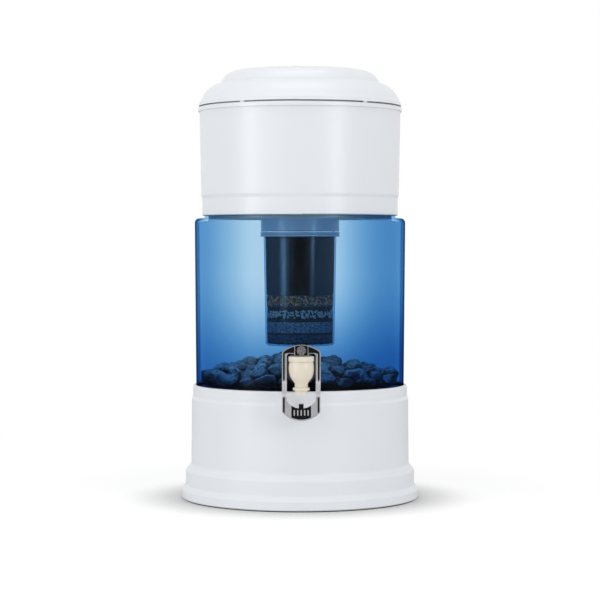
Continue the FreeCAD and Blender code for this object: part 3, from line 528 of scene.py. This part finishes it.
def dress_nodes():
    """Gives each CAD node the material of its slot, and soft edges to the hard pieces."""
    for part in frame["record"]["subparts"]:
        shown = frame["nodes"][part["node"]]
        shown.data.materials.clear()
        shown.data.materials.append(finish_of_slot[part["material_slot"]])
    for name in ("cartridge_head", "cartridge_ring"):
        frame["nodes"][name].data.materials[0] = head_plastic
    frame["nodes"]["tap_lever_disc"].data.materials[0] = turned_metal
    for name in ("tap_lever_frame", "tap_lever_disc", "tap_pad_ribs"):
        bevel = frame["nodes"][name].modifiers.new("edges", "BEVEL")
        bevel.width = edge_width
        bevel.segments = 2
        bevel.limit_method = "ANGLE"


# Stones

def islands_of(mesh_object):
    """The centre, half width and half height of each loose piece of a mesh."""
    work = bmesh.new()
    work.from_mesh(mesh_object.data)
    bmesh.ops.remove_doubles(work, verts=work.verts, dist=1e-6)
    left = set(work.verts)
    found = []
    while left:
        stack = [left.pop()]
        group = []
        while stack:
            vert = stack.pop()
            group.append(vert.co.copy())
            for edge in vert.link_edges:
                other = edge.other_vert(vert)
                if other in left:
                    left.remove(other)
                    stack.append(other)
        low = Vector(min(c[i] for c in group) for i in range(3))
        high = Vector(max(c[i] for c in group) for i in range(3))
        found.append(((low + high) / 2, (high.x - low.x) / 2, (high.z - low.z) / 2))
    work.free()
    return sorted(found, key=lambda f: tuple(f[0]))


def soft_minimum(values, sharpness):
    return -math.log(sum(math.exp(-sharpness * v) for v in values)) / sharpness


def rock_mesh(work, chance, centre, half_width, half_height, limit):
    """A stone with worn faces, made by cutting a ball with planes at different depths."""
    planes = []
    for _ in range(stone_planes):
        lean = Vector((chance.gauss(0, 1), chance.gauss(0, 1), chance.gauss(0, 1))).normalized()
        planes.append((lean, chance.uniform(*stone_cuts)))
    turn = Matrix.Rotation(chance.uniform(0, 2 * math.pi), 3, "Z")
    tilt = Matrix.Rotation(chance.uniform(-stone_tilt, stone_tilt), 3, "X")
    stretch = chance.uniform(*stone_stretch)
    offset = Vector([chance.uniform(0, stone_noise_span) for _ in range(3)])
    ball_verts = bmesh.ops.create_icosphere(work, subdivisions=4, radius=1.0)["verts"]
    for vert in ball_verts:
        way = vert.co.normalized()
        reach = [depth / max(way.dot(lean), stone_least_facing) for lean, depth in planes]
        radius = soft_minimum(reach + [stone_most], stone_rounding)
        radius += sum(deep * noise.noise(way * often + offset) for deep, often in stone_waves)
        spot = tilt @ (way * radius)
        spot = turn @ Vector((
            spot.x * half_width * stone_swell,
            spot.y * half_width * stone_swell * stretch,
            spot.z * half_height * stone_swell * stone_tall,
        ))
        spot += centre
        out = math.hypot(spot.x, spot.y)
        if out > limit:
            spot.x *= limit / out
            spot.y *= limit / out
        vert.co = spot
    return ball_verts


def make_stones():
    chance = random.Random(stone_seed)
    node = frame["nodes"]["mineral_stones"]
    low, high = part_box("mineral_stones")
    limit = max(-low.x, high.x, -low.y, high.y)
    work = bmesh.new()
    for centre, half_width, half_height in islands_of(node):
        verts = rock_mesh(work, chance, centre, half_width, half_height, limit)
        for vert in verts:
            vert.co.z = max(vert.co.z, low.z)
    stones = finished("stones", work, stone_rock)
    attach(stones, "lower_tank")
    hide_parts("mineral_stones")


def finished(name, work, finish):
    """An object from a bmesh, with its material."""
    bmesh.ops.recalc_face_normals(work, faces=work.faces)
    data = bpy.data.meshes.new(name)
    work.to_mesh(data)
    work.free()
    for face in data.polygons:
        face.use_smooth = True
    data.materials.append(finish)
    made = bpy.data.objects.new(name, data)
    bpy.context.scene.collection.objects.link(made)
    return made


# Loose fill in the cartridge

def layer_core(work, low, high, inset):
    """The solid middle of a layer, a drum that the grains sit on."""
    radius = high.x - inset
    rings = []
    for height in (low.z, high.z):
        ring = []
        for i in range(core_sides):
            turn = 2 * math.pi * i / core_sides
            ring.append(work.verts.new((radius * math.cos(turn), radius * math.sin(turn), height)))
        rings.append(ring)
    for i in range(core_sides):
        following = (i + 1) % core_sides
        work.faces.new((rings[0][i], rings[0][following], rings[1][following], rings[1][i]))
    work.faces.new(list(reversed(rings[0])))
    work.faces.new(rings[1])


def grain(work, chance, spot, size, subdivisions, roughness):
    """One grain: a ball, pushed out of round unless its roughness is nothing."""
    verts = bmesh.ops.create_icosphere(work, subdivisions=subdivisions, radius=1.0)["verts"]
    shape = Vector([chance.uniform(*span) for span in (grain_wide, grain_wide, grain_tall)])
    if not roughness:
        shape = Vector((1.0, 1.0, 1.0))
    turn = Matrix.Rotation(chance.uniform(0, 2 * math.pi), 3, "Z")
    for vert in verts:
        swell = 1 + roughness * chance.uniform(-1, 1)
        way = vert.co * swell * size
        vert.co = spot + turn @ Vector((way.x * shape.x, way.y * shape.y, way.z * shape.z))


def grain_layer(name, node, body_slot, finish, core_finish, size, count, band, subdivisions, roughness):
    """A layer of loose grains: a dark core and grains round its side, within a band of its height."""
    chance = random.Random(grain_seed + count)
    low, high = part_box(node)
    work = bmesh.new()
    layer_core(work, low, high, size * core_inset)
    core_faces = len(work.faces)
    bottom = low.z + size + (high.z - low.z - 2 * size) * band[0]
    top = low.z + size + (high.z - low.z - 2 * size) * band[1]
    for _ in range(count):
        turn = chance.uniform(0, 2 * math.pi)
        wide = size * chance.uniform(*grain_sizes)
        out = high.x - wide * drop_in - chance.uniform(0, size * drop_spread)
        height = chance.uniform(bottom, top)
        grain(work, chance, Vector((out * math.cos(turn), out * math.sin(turn), height)),
              wide, subdivisions, roughness)
    made = finished(name, work, core_finish)
    made.data.materials.append(finish)
    for face in made.data.polygons:
        face.material_index = 0 if face.index < core_faces else 1
        face.use_smooth = face.index >= core_faces and not roughness
    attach(made, "upper_tank")
    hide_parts(node)


def make_fill():
    grain_layer("granule_layer", "mineral_granules", "granules", granule, zeolite, **granules)
    grain_layer("ball_layer", "ceramic_ball_bed", "ceramic_balls", ball, felt, **balls)


# Stage

def make_floor():
    """A pale floor. What looks at it sees its own glow, and its shade where it meets the object."""
    work = bmesh.new()
    corners = [(-1, -1), (1, -1), (1, 1), (-1, 1)]
    work.faces.new([work.verts.new((floor_half * x, floor_half * y, 0)) for x, y in corners])
    made, tree, out = material("floor_white")
    path = put(tree, "LightPath")
    seen = math_node(tree, "MAXIMUM", path.outputs["Is Camera Ray"], path.outputs["Is Glossy Ray"])
    seen = math_node(tree, "MAXIMUM", seen, path.outputs["Is Transmission Ray"])
    lit = put(tree, "BsdfDiffuse", Color=floor_white)
    nearby = put(tree, "AmbientOcclusion", occlusion, Distance=contact_reach).outputs["AO"]
    contact = spread(tree, nearby, *contact_open, contact_dark, 1.0)
    out_from_foot = put(tree, "VectorMath", {"operation": "LENGTH"}, i0=place_of(tree)).outputs["Value"]
    strength = spread(tree, out_from_foot, floor_near, floor_far, floor_near_strength, 1.0)
    mirrored = math_node(tree, "MULTIPLY", path.outputs["Is Glossy Ray"], 1.0 - floor_mirrored)
    strength = math_node(tree, "MULTIPLY", strength, math_node(tree, "SUBTRACT", 1.0, mirrored))
    glow = put(tree, "Emission", Color=(1.0, 1.0, 1.0))
    link(tree, math_node(tree, "MULTIPLY", contact, strength), glow.inputs["Strength"])
    level = spread(tree, out_from_foot, floor_near, floor_far, floor_near_glow, 1.0)
    share = math_node(tree, "MULTIPLY", seen, level)
    mix = put(tree, "MixShader", i0=share, i1=lit.outputs[0], i2=glow.outputs[0])
    link(tree, mix.outputs[0], out.inputs[0])
    floor = finished("floor", work, made)


def make_world():
    """A white surround. What lights the object is dimmer, and metal mirrors a dark strip in front."""
    world = bpy.data.worlds.new("studio")
    bpy.context.scene.world = world
    world.use_nodes = True
    tree = world.node_tree
    tree.nodes.clear()
    out = tree.nodes.new("ShaderNodeOutputWorld")
    path = put(tree, "LightPath")
    way = tree.nodes.new("ShaderNodeTexCoord").outputs["Generated"]
    side = math_node(tree, "ABSOLUTE", axis_of(tree, way, 0))
    edge_low = math.sin(dark_half_angle)
    edge_high = math.sin(dark_half_angle + dark_soft_angle)
    aside = spread(tree, side, edge_low, edge_high)
    behind = spread(tree, axis_of(tree, way, 1), *dark_ends_behind)
    below = spread(tree, axis_of(tree, way, 2), *dark_ends_below)
    open_to_light = math_node(tree, "MAXIMUM", math_node(tree, "MAXIMUM", aside, behind), below)
    mirrored = spread(tree, open_to_light, 0.0, 1.0, mirrored_dark, mirrored_light)
    is_glossy = path.outputs["Is Glossy Ray"]
    glossy = math_node(tree, "MULTIPLY", is_glossy, mirrored)
    seen = math_node(tree, "MAXIMUM", path.outputs["Is Camera Ray"], path.outputs["Is Transmission Ray"])
    plain = math_node(tree, "SUBTRACT", 1.0, math_node(tree, "MAXIMUM", seen, is_glossy))
    dim = math_node(tree, "MULTIPLY", plain, ambient)
    level = math_node(tree, "ADD", math_node(tree, "ADD", seen, glossy), dim)
    sky = put(tree, "Background", Color=(1.0, 1.0, 1.0), Strength=level)
    link(tree, sky.outputs[0], out.inputs[0])


def area_lamp(name, place, target, width, height, power):
    data = bpy.data.lights.new(name, "AREA")
    data.shape = "RECTANGLE"
    data.size = width
    data.size_y = height
    data.energy = power
    lamp = bpy.data.objects.new(name, data)
    lamp.location = place
    lamp.rotation_euler = (target - place).to_track_quat("-Z", "Y").to_euler()
    bpy.context.scene.collection.objects.link(lamp)


def make_lamps():
    for name, box in (("left_box", left_box), ("right_box", right_box)):
        turn = math.radians(box["azimuth"])
        height = (box["low"] + box["high"]) / 2
        place = Vector((box_distance * math.sin(turn), -box_distance * math.cos(turn), height))
        area_lamp(name, place, Vector((0, 0, height)), box["width"], box["high"] - box["low"], box["power"])
    area_lamp("top_box", top_box_place, top_box_target, top_box_size, top_box_size, top_box_power)


def make_camera():
    data = bpy.data.cameras.new("camera")
    data.lens = camera_lens_mm
    data.sensor_width = sensor_mm
    camera = bpy.data.objects.new("camera", data)
    camera.location = camera_place
    yaw = -math.atan2(-camera_place.x, -camera_place.y)
    camera.rotation_euler = (math.pi / 2 + camera_pitch, 0, yaw)
    bpy.context.scene.collection.objects.link(camera)
    bpy.context.scene.camera = camera


dress_nodes()
make_stones()
make_fill()
make_floor()
make_world()
make_lamps()
make_camera()
bpy.context.scene.view_settings.view_transform = "Standard"
